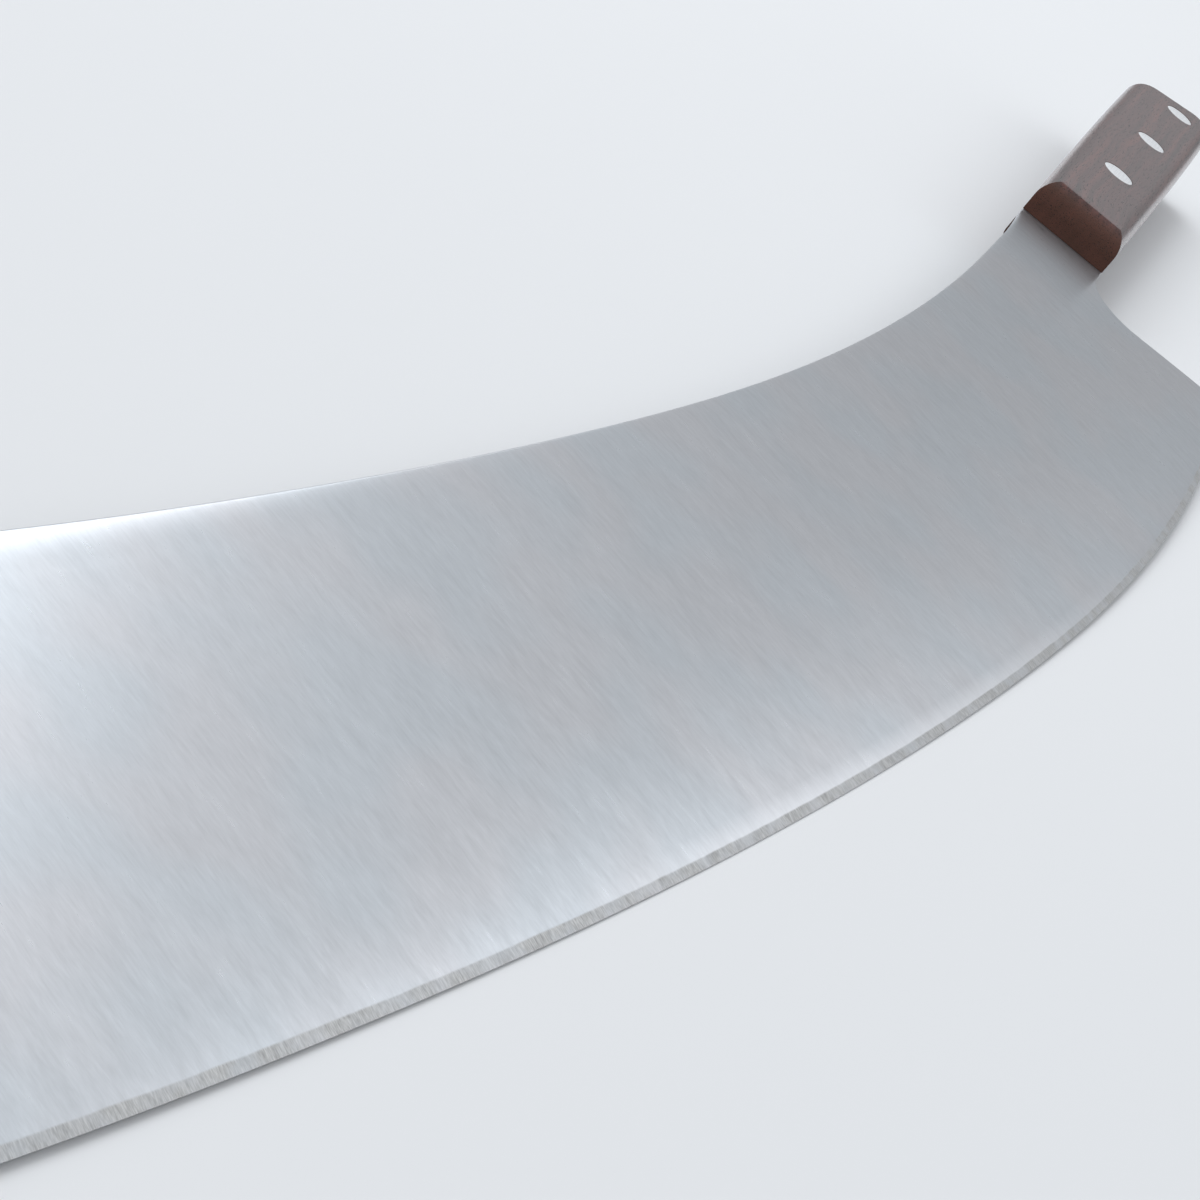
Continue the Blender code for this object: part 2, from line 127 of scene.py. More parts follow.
# Shapes shared by the blade and the handles. X runs along the blade, Y from edge to spine.
handle = {
    "angle": radians(15.4),
    "setback": 0.0016,  # the spine's corner of a handle lies this far short of the tip
    "rise": 0.0007,  # the spine flares up this much to meet the handle's upper side
    "flareLength": 0.018,
    "length": 0.12696,  # a hair less than the solid's
    "solidLength": 0.127,  # the rivets are set out along this
    "frontWidth": 0.0192,
    "endWidth": 0.02245,
    "buttSlant": radians(24),
    "buttUpperRadius": 0.008,
    "buttLowerRadius": 0.006,
    "sideSteps": 24,
    "cornerSteps": 20,
    "cornerShare": 0.95,  # a rounding takes at most this much of the shorter side
}
blade = {
    "width": 0.0520,
    "halfLength": 0.2020,
    "bellyRadius": 0.890,
    "bellyHalf": 0.0813,
    "edgeEndRadius": 0.532,
    "edgeEndAngle": radians(60),  # the arc goes on well past the tip
    "spineRadius": 0.895,
    "spineHalf": 0.0455,
    "spineEndRadius": 0.569,
    "heelLean": radians(22.2),
    "heelFillet": 0.0108,
    "tipRounding": 0.0015,
    "thickness": 0.0022,
    "cornerEasing": 0.00028,
    "runOutAngle": radians(4.5),
    "runOutEnd": 0.0008,
    "arcStep": 0.003,
    "slopeStep": 0.0005,
    "rimFrom": 0.0005,  # nearer the edge than this, every face belongs to the bevel
    "rimTurn": 0.5,  # only faces more upright than this are rim
    "easingSegments": 3,
    "sharpAngle": radians(35),
    "uvScale": 10,  # the UVs only give the brushing its direction
}
footCornerX = blade["halfLength"] - handle["setback"]


def twoArcHeight(x, innerRadius, innerHalf, outerRadius, endAngle):
    x = abs(x)
    if x <= innerHalf:
        return innerRadius - sqrt(innerRadius ** 2 - x ** 2)
    jointAngle = asin(innerHalf / innerRadius)
    height = innerRadius * (1 - cos(jointAngle))
    outerEnd = innerHalf + outerRadius * (sin(endAngle) - sin(jointAngle))
    angle = asin(sin(jointAngle) + (min(x, outerEnd) - innerHalf) / outerRadius)
    height += outerRadius * (cos(jointAngle) - cos(angle))
    return height + max(0, x - outerEnd) * tan(endAngle)


def edgeHeight(x):
    return twoArcHeight(x, blade["bellyRadius"], blade["bellyHalf"], blade["edgeEndRadius"],
                        blade["edgeEndAngle"])


def spineHeight(x):
    rise = twoArcHeight(x, blade["spineRadius"], blade["spineHalf"], blade["spineEndRadius"],
                        handle["angle"])
    flare = min(1, max(0, 1 - (footCornerX - abs(x)) / handle["flareLength"]))
    return blade["width"] + rise + handle["rise"] * flare ** 2


def curvePoints(height, start, end):
    count = max(2, round(abs(end - start) / blade["arcStep"]))
    xs = [start + (end - start) * i / count for i in range(count + 1)]
    return [Vector((x, height(x))) for x in xs]


def roundedCorner(before, corner, after, radius):
    back = (before - corner).normalized()
    ahead = (after - corner).normalized()
    halfAngle = back.angle(ahead) / 2
    shorterSide = min((before - corner).length, (after - corner).length)
    reach = min(radius / tan(halfAngle), handle["cornerShare"] * shorterSide)
    radius = reach * tan(halfAngle)
    middle = corner + (back + ahead).normalized() * (radius / sin(halfAngle))
    start = corner + back * reach - middle
    turn = (pi - 2 * halfAngle) * (1 if start.cross(corner + ahead * reach - middle) > 0 else -1)
    steps = handle["cornerSteps"]
    return [middle + Matrix.Rotation(turn * i / steps, 2) @ start for i in range(steps + 1)]


handleDirection = Vector((cos(handle["angle"]), sin(handle["angle"])))
acrossHandle = Vector((-sin(handle["angle"]), cos(handle["angle"])))
footCorner = Vector((footCornerX, spineHeight(footCornerX)))
foot = footCorner - acrossHandle * handle["frontWidth"] / 2


def halfWidth(along):
    swell = sin(pi / 2 * max(0, min(1, along / handle["length"])))
    return (handle["frontWidth"] + (handle["endWidth"] - handle["frontWidth"]) * swell) / 2


def handleOutline(start):
    # In the handle's own plane: X along it, Y across it, from the lower side round the butt
    slant = tan(handle["buttSlant"]) * handle["endWidth"] / 2
    lowerEnd = handle["length"] + slant
    upperEnd = handle["length"] - slant
    steps = handle["sideSteps"]

    def side(end, hand):
        places = [start + (end - start) * i / steps for i in range(steps)]
        return [Vector((place, hand * halfWidth(place))) for place in places]

    lowerSide = side(lowerEnd - handle["buttLowerRadius"], -1)
    upperSide = side(upperEnd - handle["buttUpperRadius"], 1)
    lowerCorner = Vector((lowerEnd, -handle["endWidth"] / 2))
    upperCorner = Vector((upperEnd, handle["endWidth"] / 2))
    lowerArc = roundedCorner(lowerSide[-1], lowerCorner, upperCorner, handle["buttLowerRadius"])
    upperArc = roundedCorner(lowerCorner, upperCorner, upperSide[-1], handle["buttUpperRadius"])
    return lowerSide + lowerArc + upperArc + upperSide[::-1]


def bladeOutline():
    tip = Vector((blade["halfLength"], edgeHeight(blade["halfLength"])))
    heelDirection = Vector((-sin(blade["heelLean"]), cos(blade["heelLean"])))
    tang = [foot + handleDirection * p.x + acrossHandle * p.y for p in handleOutline(0)]
    step = tang[0] - tip
    hollow = tip + heelDirection * (step.cross(handleDirection) / heelDirection.cross(handleDirection))
    edge = curvePoints(edgeHeight, 0, blade["halfLength"])
    spine = curvePoints(spineHeight, footCorner.x, 0)
    half = edge[:-1] + roundedCorner(edge[-2], tip, hollow, blade["tipRounding"])
    half += roundedCorner(tip, hollow, tang[0], blade["heelFillet"])
    half += tang + spine[1:]
    otherHalf = [Vector((-p.x, p.y)) for p in half[1:-1]]
    return half + otherHalf[::-1]


def handleMatrix(mirrored):
    if mirrored:
        turn = Matrix.Rotation(pi - handle["angle"], 4, "Z")
        return Matrix.Translation((-foot.x, foot.y, 0)) @ turn
    return Matrix.Translation((foot.x, foot.y, 0)) @ Matrix.Rotation(handle["angle"], 4, "Z")


# Mesh building

def linkObject(name, data):
    item = bpy.data.objects.new(name, data)
    bpy.context.scene.collection.objects.link(item)
    return item


def prism(name, points, low, high):
    # An outline with top and bottom as one face each
    shape = bmesh.new()
    bottom = [shape.verts.new((p.x, p.y, low)) for p in points]
    face = shape.faces.new(bottom)
    lifted = bmesh.ops.extrude_face_region(shape, geom=[face])
    top = [v for v in lifted["geom"] if isinstance(v, bmesh.types.BMVert)]
    bmesh.ops.translate(shape, vec=(0, 0, high - low), verts=top)
    bmesh.ops.recalc_face_normals(shape, faces=shape.faces)
    mesh = bpy.data.meshes.new(name)
    shape.to_mesh(mesh)
    shape.free()
    return linkObject(name, mesh)


def cylinder(name, radius, low, high, place):
    # Place is (along, across) in the handle's own frame
    shape = bmesh.new()
    bmesh.ops.create_cone(shape, cap_ends=True, segments=cutting["boreSegments"], radius1=radius,
                          radius2=radius, depth=high - low)
    bmesh.ops.translate(shape, vec=(*place, (low + high) / 2), verts=shape.verts)
    mesh = bpy.data.meshes.new(name)
    shape.to_mesh(mesh)
    shape.free()
    return linkObject(name, mesh)


def cutWith(item, cutters):
    # Cuts, keeps the result as the item's own mesh and clears the cutters away
    for cutter in cutters:
        boolean = item.modifiers.new("cut", "BOOLEAN")
        boolean.operation = "DIFFERENCE"
        boolean.solver = "EXACT"
        boolean.object = cutter
    settle(item)
    for cutter in cutters:
        bpy.data.objects.remove(cutter, do_unlink=True)


def settle(item):
    bpy.context.view_layer.update()
    graph = bpy.context.evaluated_depsgraph_get()
    mesh = bpy.data.meshes.new_from_object(item.evaluated_get(graph))
    item.modifiers.clear()
    item.data = mesh
    mesh.name = item.name


def finishShading(item, sharpAngle):
    item.data.shade_smooth()
    item.data.set_sharp_from_angle(angle=sharpAngle)
    weights = item.modifiers.new("weighted normals", "WEIGHTED_NORMAL")
    weights.keep_sharp = True


def layDown(item, place):
    # Keeps each point's place on the piece itself for the patterns, then moves the mesh
    mesh = item.data
    own = mesh.attributes.new("ownPlace", "FLOAT_VECTOR", "POINT")
    own.data.foreach_set("vector", [c for vert in mesh.vertices for c in vert.co])
    mesh.transform(place)


def ownPlace(tree):
    return addNode(tree, "ShaderNodeAttribute", {"attribute_name": "ownPlace"}).outputs["Vector"]


# What the cutters are made with
cutting = {
    "spare": 0.003,  # a cutter stands out of what it cuts by this
    "overlap": 0.0005,  # a rivet's narrow hole runs this far into the wide bore
    "edgeOverrun": 0.025,  # the sweeps run on past the ends of edge and spine
    "spineOverrun": 0.012,
    "skim": 0.000002,  # keeps the front cutter just off the flat top
    "weld": 0.000004,  # points of the blade nearer than this are joined
    "axisWeld": 0.000001,  # and so are the points of a rivet on its axis
    "onLevel": 0.00001,  # a point this near a height counts as lying on it
    "squareCorner": radians(60),  # an edge turned by more is a square corner
    "boreSegments": 64,
    # blocks that keep the taper off the tangs
    "guardLength": 0.25,
    "guardWidth": 0.11,
    "guardHeight": 0.006,
    # the cutter of a scale's front
    "wedgeLength": 0.03,
    "wedgeHalfWidth": 0.025,
}


# Blade: one ground plate. The face is a flat taper that rolls off a little towards the edge
bladeSection = [
    # distance from the edge, half thickness
    (0.0, 0.00002),
    (0.00085, 0.000140),
    (0.00100, 0.000162),
    (0.00115, 0.000183),
    (0.0014, 0.000212),
    (0.0020, 0.000262),
    (0.0030, 0.000318),
    (0.0045, 0.000381),
    (0.0065, 0.000447),
    (0.0090, 0.000513),
    (0.0120, 0.000582),
    (0.0160, 0.000660),
    (0.0210, 0.000740),
    (0.0280, 0.000834),
    (0.0560, 0.0011),
]
# The belt also rolls off over the last millimetres before the spine, and the corner is eased
spineSection = [
    (0.0, 0.000747),
    (0.00002, 0.000790),
    (0.00006, 0.000826),
    (0.00012, 0.000852),
    (0.00025, 0.000885),
    (0.00045, 0.000909),
    (0.0007, 0.0009335),
    (0.0010, 0.0009564),
    (0.0014, 0.0009792),
    (0.0019, 0.0009981),
    (0.0025, 0.0010102),
    (0.0032, 0.0010134),
    (0.0040, 0.0010087),
    (0.0055, 0.0009930),
    (0.0057, 0.001100),
]


def bandCutter(side, height, section, outward, end, overrun):
    # Sweeps a section along the edge or the spine: outward is -1 below the edge, 1 above the spine
    spare = cutting["spare"]
    top = blade["thickness"] / 2 + spare
    section = [(-spare, section[0][1])] + section
    section += [(section[-1][0], top), (-spare, top)]
    right = curvePoints(height, 0, end) + curvePoints(height, end, end + overrun)[1:]
    path = [Vector((-p.x, p.y)) for p in right[:0:-1]] + right
    shape = bmesh.new()
    rings = []
    for index, point in enumerate(path):
        before = path[max(0, index - 1)]
        after = path[min(len(path) - 1, index + 1)]
        along = (after - before).normalized()
        inward = Vector((-along.y, along.x)) * -outward
        ring = [shape.verts.new((*(point + inward * reach), side * z)) for reach, z in section]
        rings.append(ring)
    count = len(section)
    for first, second in zip(rings, rings[1:]):
        for i in range(count):
            shape.faces.new((first[i], first[(i + 1) % count], second[(i + 1) % count], second[i]))
    shape.faces.new(rings[0][::-1])
    shape.faces.new(rings[-1])
    bmesh.ops.recalc_face_normals(shape, faces=shape.faces)
    mesh = bpy.data.meshes.new("band")
    shape.to_mesh(mesh)
    shape.free()
    cutter = linkObject("band", mesh)
    cutWith(cutter, [tangGuard(mirrored, side) for mirrored in (False, True)])
    return cutter


def tangGuard(mirrored, side):
    # The taper runs out on this block's sloping end, just in front of the scales
    half = blade["thickness"] / 2
    shape = bmesh.new()
    bmesh.ops.create_cube(shape, size=1)
    for vert in shape.verts:
        level = half + cutting["guardHeight"] if vert.co.z > 0 else 0
        near = (level - half) / tan(blade["runOutAngle"]) - blade["runOutEnd"]
        end = near + cutting["guardLength"] if vert.co.x > 0 else near
        vert.co = (end, vert.co.y * cutting["guardWidth"], side * level)
    if side < 0:
        bmesh.ops.reverse_faces(shape, faces=shape.faces)
    mesh = bpy.data.meshes.new("guard")
    shape.to_mesh(mesh)
    shape.free()
    guard = linkObject("guard", mesh)
    guard.matrix_world = handleMatrix(mirrored)
    return guard


def edgePlace(x, y):
    # Run along the cutting edge and distance from it, for a point of the plate
    nearest = x
    for attempt in range(3):
        slope = edgeSlope(nearest)
        nearest = (x + slope * (y - edgeHeight(nearest)) + slope * slope * nearest) / (1 + slope * slope)
    slope = edgeSlope(nearest)
    away = ((y - edgeHeight(nearest)) - slope * (x - nearest)) / sqrt(1 + slope * slope)
    steps = 20
    stretches = [sqrt(1 + edgeSlope(nearest * (i + 0.5) / steps) ** 2) for i in range(steps)]
    return sum(stretches) * nearest / steps, away


def edgeSlope(x):
    step = blade["slopeStep"]
    return (edgeHeight(x + step) - edgeHeight(x - step)) / (2 * step)


def makeBlade():
    half = blade["thickness"] / 2
    item = prism("bladeSteel", bladeOutline(), -half, half)
    easing = item.modifiers.new("eased", "BEVEL")
    easing.width = blade["cornerEasing"]
    easing.segments = blade["easingSegments"]
    easing.limit_method = "ANGLE"
    easing.angle_limit = cutting["squareCorner"]
    settle(item)
    tipX = blade["halfLength"]
    overrun = cutting["edgeOverrun"]
    cutWith(item, [bandCutter(side, edgeHeight, bladeSection, -1, tipX, overrun) for side in (1, -1)])
    overrun = cutting["spineOverrun"]
    cutWith(item, [bandCutter(side, spineHeight, spineSection, 1, footCornerX, overrun) for side in (1, -1)])

    mesh = item.data
    shape = bmesh.new()
    shape.from_mesh(mesh)
    bmesh.ops.remove_doubles(shape, verts=shape.verts, dist=cutting["weld"])
    bmesh.ops.dissolve_degenerate(shape, dist=cutting["weld"], edges=shape.edges)
    bmesh.ops.recalc_face_normals(shape, faces=shape.faces)
    bmesh.ops.triangulate(shape, faces=[f for f in shape.faces if len(f.verts) > 4])
    for face in shape.faces:
        centre = face.calc_center_median()
        upright = abs(face.normal.z) < blade["rimTurn"]
        onRim = upright and edgePlace(centre.x, centre.y)[1] > blade["rimFrom"]
        face.material_index = 1 if onRim else 0
    uv = shape.loops.layers.uv.new("brushed")
    for face in shape.faces:
        for loop in face.loops:
            loop[uv].uv = loop.vert.co.xy * blade["uvScale"]
    shape.to_mesh(mesh)
    shape.free()
    edgeData = mesh.attributes.new("edgePlace", "FLOAT_VECTOR", "POINT")
    flat = []
    for vert in mesh.vertices:
        flat += [*edgePlace(vert.co.x, vert.co.y), vert.co.z]
    edgeData.data.foreach_set("vector", flat)
    for material in (steelFace(), linedSteel(rim)):
        mesh.materials.append(material)
    finishShading(item, blade["sharpAngle"])
    layDown(item, knifePlace)
    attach(item, "root")
    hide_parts("blade")
    print("blade:", len(mesh.polygons), "faces")


# Stainless steel ground on a belt across the blade: fine parallel lines from edge to spine that
# stretch every reflection along the blade. The sharpened bevel comes off a coarser stone and shows
# short separate scratches square to the edge
brushed = {
    "colour": hexColour("#c3c5c9"),
    "coolColour": hexColour("#c0c5ca"),  # in faint clouds
    "shades": (0.905, 1.075),  # of the darkest and lightest lines
    "roughness": (0.31, 0.27),  # of the same lines
    "anisotropic": 0.6,
    # width and length in mm, turn in degrees, share of the whole pattern.
    # Real belt lines are about 0.05 mm wide, too fine to show, so the first layers are coarser
    "layers": [(0.12, 1.0, 0, 0.21), (0.3, 2.2, 3, 0.22), (0.7, 3.6, -4, 0.24), (1.5, 5, 5, 0.18),
               (3.4, 12, -2, 0.15)],
    "lineDepth": 0.0000005,
    "waveMm": 42,
    "waveDepth": 0.00016,
    "cloudMm": 16,
    "clouds": [(0.40, grey(0.0)), (0.60, grey(1.0))],
}
ground = {
    "colour": hexColour("#b3b4b4"),
    "shades": (0.74, 1.20),
    "roughness": (0.41, 0.34),
    # scratches of a 400 grit stone, drawn coarser for the same reason
    "layers": [(0.10, 1.6, 0, 0.52), (0.2, 2.2, 3, 0.35), (1.2, 4.0, 0, 0.13)],
    "lineDepth": 0.000002,
    "border": (0.00112, 0.00130),  # full up to the first distance from the edge, gone at the second
    "waver": 0.0002,
    "patchMm": 3.4,
    "fading": [(0.42, grey(0.0)), (0.62, grey(0.5))],
}
# A painted highlight: a lighter strip just above the bevel, clearest over the belly of the edge, stands in
# for the sheen that the roll-off there catches from the lamps
paintedSheen = {
    "colour": hexColour("#d8dade"),
    "shades": (0.95, 1.05),
    "share": 0.95,
    "border": (0.0011, 0.0034),
    "run": (-0.05, 0.13),  # along the edge, with the stops as shares of it
    "stops": [(0.08, grey(0.0)), (0.28, grey(1.0)), (0.58, grey(1.0)), (0.94, grey(0.0))],
}
linePatterns = {
    "detail": 1.5,
    "roughness": 0.55,
    # nearly all values of a pattern lie between these
    "shadeLevels": (0.36, 0.64),
    "roughLevels": (0.35, 0.65),
    "singleLevels": (0.3, 0.7),  # and of a single noise
}


def linePattern(tree, coords, layers):
    # Sum of noises drawn out along Y
    total = None
    for width, length, turn, share in layers:
        noise = stretchedNoise(tree, coords, (width, length, width), linePatterns["detail"],
                               linePatterns["roughness"], radians(turn))
        part = addNode(tree, "ShaderNodeMath", {"operation": "MULTIPLY", 1: share}, {0: noise}).outputs[0]
        if total is None:
            total = part
        else:
            total = addNode(tree, "ShaderNodeMath", {"operation": "ADD"}, {0: total, 1: part}).outputs[0]
    return total


def shades(tree, lines, colour, darkestLightest):
    # The colour's own shades, from the darkest lines to the lightest
    stops = []
    for place, share in zip(linePatterns["shadeLevels"], darkestLightest):
        stops.append((place, [min(1, c * share) for c in colour[:3]] + [1]))
    return addNode(tree, "ShaderNodeValToRGB", {"stops": stops}, {"Fac": lines}).outputs["Color"]


def lineRoughness(tree, lines, levels, roughness):
    low, high = levels
    inLine, beside = roughness
    node = addNode(tree, "ShaderNodeMapRange", {1: low, 2: high, 3: inLine, 4: beside}, {0: lines})
    return node.outputs[0]


def steelFace():
    material, tree, shader = newMaterial("stainless steel, belt ground and stone sharpened", {
        "Metallic": 1.0,
        "Anisotropic": brushed["anisotropic"],
    })
    coords = ownPlace(tree)
    alongEdge = addNode(tree, "ShaderNodeAttribute", {"attribute_name": "edgePlace"}).outputs["Vector"]
    lines = linePattern(tree, coords, brushed["layers"])
    marks = linePattern(tree, alongEdge, ground["layers"])

    # The bevel's upper border wavers by a tenth of a millimetre
    split = addNode(tree, "ShaderNodeSeparateXYZ", links={0: alongEdge})
    patch = addNode(tree, "ShaderNodeTexNoise", {"Scale": 1000 / ground["patchMm"], "Detail": 2.0},
                    {"Vector": alongEdge})
    waver = addNode(tree, "ShaderNodeMath", {"operation": "MULTIPLY_ADD", 1: ground["waver"]},
                    {0: patch.outputs["Fac"], 2: split.outputs["Y"]})
    full, gone = ground["border"]
    bevel = addNode(tree, "ShaderNodeMapRange", {1: full, 2: gone, 3: 1.0, 4: 0.0},
                    {0: waver.outputs[0]}).outputs[0]

    # The belt has left faint clouds of a cooler grey
    cloud = addNode(tree, "ShaderNodeTexNoise", {"Scale": 1000 / brushed["cloudMm"], "Detail": 1.0},
                    {"Vector": coords})
    clouds = addNode(tree, "ShaderNodeValToRGB", {"stops": brushed["clouds"]},
                     {"Fac": cloud.outputs["Fac"]})
    faceColour = addNode(tree, "ShaderNodeMix", {"data_type": "RGBA"},
                         {0: clouds.outputs["Color"],
                          6: shades(tree, lines, brushed["colour"], brushed["shades"]),
                          7: shades(tree, lines, brushed["coolColour"], brushed["shades"])}).outputs[2]

    # In places the bevel's scratches fade into a smoother patch
    fading = addNode(tree, "ShaderNodeValToRGB", {"stops": ground["fading"]},
                     {"Fac": patch.outputs["Fac"]})
    bevelColour = addNode(tree, "ShaderNodeMix", {"data_type": "RGBA"},
                          {0: fading.outputs["Color"],
                           6: shades(tree, marks, ground["colour"], ground["shades"]),
                           7: faceColour}).outputs[2]

    # The painted highlight strip is mixed in only now, so that it leaves the bevel alone
    full, gone = paintedSheen["border"]
    paintedSheenBand = addNode(tree, "ShaderNodeMapRange", {1: full, 2: gone, 3: paintedSheen["share"], 4: 0.0},
                    {0: split.outputs["Y"]})
    # The painted highlight shows only over this stretch of the edge, where the light falls on the roll-off
    first, last = paintedSheen["run"]
    run = addNode(tree, "ShaderNodeMapRange", {1: first, 2: last}, {0: split.outputs["X"]})
    overBelly = addNode(tree, "ShaderNodeValToRGB", {"stops": paintedSheen["stops"]},
                        {"Fac": run.outputs[0]})
    paintedSheenMask = addNode(tree, "ShaderNodeMath", {"operation": "MULTIPLY"},
                     {0: paintedSheenBand.outputs[0], 1: overBelly.outputs["Color"]})
    faceColour = addNode(tree, "ShaderNodeMix", {"data_type": "RGBA"},
                         {0: paintedSheenMask.outputs[0], 6: faceColour,
                          7: shades(tree, lines, paintedSheen["colour"], paintedSheen["shades"])}).outputs[2]
    colour = addNode(tree, "ShaderNodeMix", {"data_type": "RGBA"},
                     {0: bevel, 6: faceColour, 7: bevelColour})
    tree.links.new(colour.outputs[2], shader.inputs["Base Color"])

    levels = linePatterns["roughLevels"]
    rough = addNode(tree, "ShaderNodeMix", {"data_type": "FLOAT"},
                    {0: bevel, 2: lineRoughness(tree, lines, levels, brushed["roughness"]),
                     3: lineRoughness(tree, marks, levels, ground["roughness"])})
    tree.links.new(rough.outputs[0], shader.inputs["Roughness"])
    tangent = addNode(tree, "ShaderNodeTangent", {"direction_type": "UV_MAP", "uv_map": "brushed"})
    tree.links.new(tangent.outputs[0], shader.inputs["Tangent"])

    # The belt leaves the sheet a little uneven, which shows as soft clouds in the reflection
    wave = addNode(tree, "ShaderNodeTexNoise", {"Scale": 1000 / brushed["waveMm"], "Detail": 1.0},
                   {"Vector": coords})
    uneven = addNode(tree, "ShaderNodeBump", {"Strength": 1.0, "Distance": brushed["waveDepth"]},
                     {"Height": wave.outputs["Fac"]})
    brushing = addNode(tree, "ShaderNodeBump", {"Strength": 1.0, "Distance": brushed["lineDepth"]},
                       {"Height": lines, "Normal": uneven.outputs[0]})
    onBevel = addNode(tree, "ShaderNodeMath", {"operation": "MULTIPLY"}, {0: marks, 1: bevel})
    scratches = addNode(tree, "ShaderNodeBump", {"Strength": 1.0, "Distance": ground["lineDepth"]},
                        {"Height": onBevel.outputs[0], "Normal": brushing.outputs[0]})
    tree.links.new(scratches.outputs[0], shader.inputs["Normal"])
    return material


# The plate's rim was linished lengthwise: lines run round it, one over the other
rim = {
    "material": "stainless steel, linished rim",
    "colour": hexColour("#c4c8cd"),
    "darkLine": 0.85,
    "levels": (0.35, 0.6),
    "lineMm": (7, 7, 0.09),
    "roughness": (0.35, 0.22),  # in a line, beside it
    "bumpStrength": 1.0,
    "lineDepth": 0.000003,
}


def linedSteel(finish):
    material, tree, shader = newMaterial(finish["material"], {"Metallic": 1.0})
    lines = stretchedNoise(tree, ownPlace(tree), finish["lineMm"], detail=2.0)
    dark = [c * finish["darkLine"] for c in finish["colour"][:3]] + [1]
    low, high = finish["levels"]
    colour = addNode(tree, "ShaderNodeValToRGB", {"stops": [(low, dark), (high, finish["colour"])]},
                     {"Fac": lines})
    tree.links.new(colour.outputs["Color"], shader.inputs["Base Color"])
    rough = lineRoughness(tree, lines, linePatterns["singleLevels"], finish["roughness"])
    tree.links.new(rough, shader.inputs["Roughness"])
    bump = addNode(tree, "ShaderNodeBump",
                   {"Strength": finish["bumpStrength"], "Distance": finish["lineDepth"]}, {"Height": lines})
    tree.links.new(bump.outputs[0], shader.inputs["Normal"])
    return material


# Handle scales: shaped on the tang, rounded over, with a sloped front
scale = {
    "thickness": 0.00696,
    "lift": 0.0014,  # underside above the plate's middle in the solids
    "joint": 0.00006,  # what shows of the glue line over the tang
    "rounding": 0.0040,
    "roundSegments": 10,
    "frontSlope": radians(22),
    "frontRounding": 0.0075,  # where the slope rolls over onto the top
    "frontEasing": 0.0003,
    "frontSteps": 12,
    # faces nearer the handle's start than this, and turned more towards it, get the front's wood
    "frontReach": 0.01,
    "frontTurn": 0.3,
    # the slope and its rounding: faces turned this far forward at least, and this little sideways
    "easedForward": 0.05,
    "easedSideways": 0.001,
    "easedFrom": radians(25),
    "easingSegments": 3,
    "sharpAngle": radians(32),
    "lapUnder": 0.0003,  # the front cutter starts this far under the scale
}
rivet = {
    "first": 0.0367,
    "last": 0.0125,  # from the handle's end
    "rowDrop": 0.0022,  # the last rivet lies this much nearer the lower side than the first
    "count": 3,
    "headRadius": 0.0035,
    "gap": 0.00004,
    "headThickness": 0.0022,
    "rimEasing": 0.00012,
    "crown": 0.00008,
    "shankRadius": 0.0024,
    "seatGap": 0.0003,  # under the head
    "turnSteps": 72,
    "crownShape": [(0, 0), (0.5, 0.2), (0.85, 0.7)],  # shares of the radius and of the crown
    "easingMiddle": (0.3, 0.35),
    "sharpAngle": radians(50),
}


def rivetPlaces():
    gaps = rivet["count"] - 1
    spacing = (handle["solidLength"] - rivet["first"] - rivet["last"]) / gaps
    return [(rivet["first"] + spacing * i, -rivet["rowDrop"] * i / gaps) for i in range(rivet["count"])]


def makeScale(name, node, mirrored, side, woods):
    top = scale["lift"] + scale["thickness"]
    low = blade["thickness"] / 2 + scale["joint"]
    item = prism(name, handleOutline(-2 * scale["rounding"]), low, top)
    shape = bmesh.new()
    shape.from_mesh(item.data)
    outerRim = [edge for edge in shape.edges if edge.calc_face_angle(0) > cutting["squareCorner"]
                and all(abs(vert.co.z - top) < cutting["onLevel"] for vert in edge.verts)]
    bmesh.ops.bevel(shape, geom=outerRim, offset=scale["rounding"], segments=scale["roundSegments"],
                    profile=0.5, affect="EDGES", clamp_overlap=True)
    bmesh.ops.triangulate(shape, faces=[face for face in shape.faces if len(face.verts) > 4])
    shape.to_mesh(item.data)
    shape.free()

    cutWith(item, [frontCutter(low, top)])
    easeFront(item, low)
    bore = rivet["headRadius"] + rivet["gap"]
    hole = rivet["shankRadius"] + rivet["gap"]
    seat = top - rivet["headThickness"] - rivet["seatGap"]
    spare = cutting["spare"]
    bores = [cylinder("bore", bore, seat, top + spare, place) for place in rivetPlaces()]
    bores += [cylinder("hole", hole, low - spare, seat + cutting["overlap"], place)
              for place in rivetPlaces()]
    cutWith(item, bores)

    # The same scale serves all four places: it is mirrored in its own frame
    across = -1 if mirrored else 1
    item.data.transform(Matrix.Diagonal((1, across, side, 1)))
    if across * side < 0:
        item.data.flip_normals()
    for material in woods:
        item.data.materials.append(material)
    for face in item.data.polygons:
        onFront = abs(face.normal.x) > scale["frontTurn"] and face.center.x < scale["frontReach"]
        face.material_index = 1 if onFront else 0
    finishShading(item, scale["sharpAngle"])
    ends = item.data.attributes.new("endGrain", "FLOAT", "CORNER")
    ends.data.foreach_set("value", [endGrainShare(normal.vector) for normal in item.data.corner_normals])
    layDown(item, knifePlace @ handleMatrix(mirrored))
    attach(item, "root")
    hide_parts(node)


def endGrainShare(normal):
    # None on the long sides, most on the front and the butt
    return min(wood["endMost"], max(0, abs(normal.x) * wood["endRise"] - wood["endStart"]))


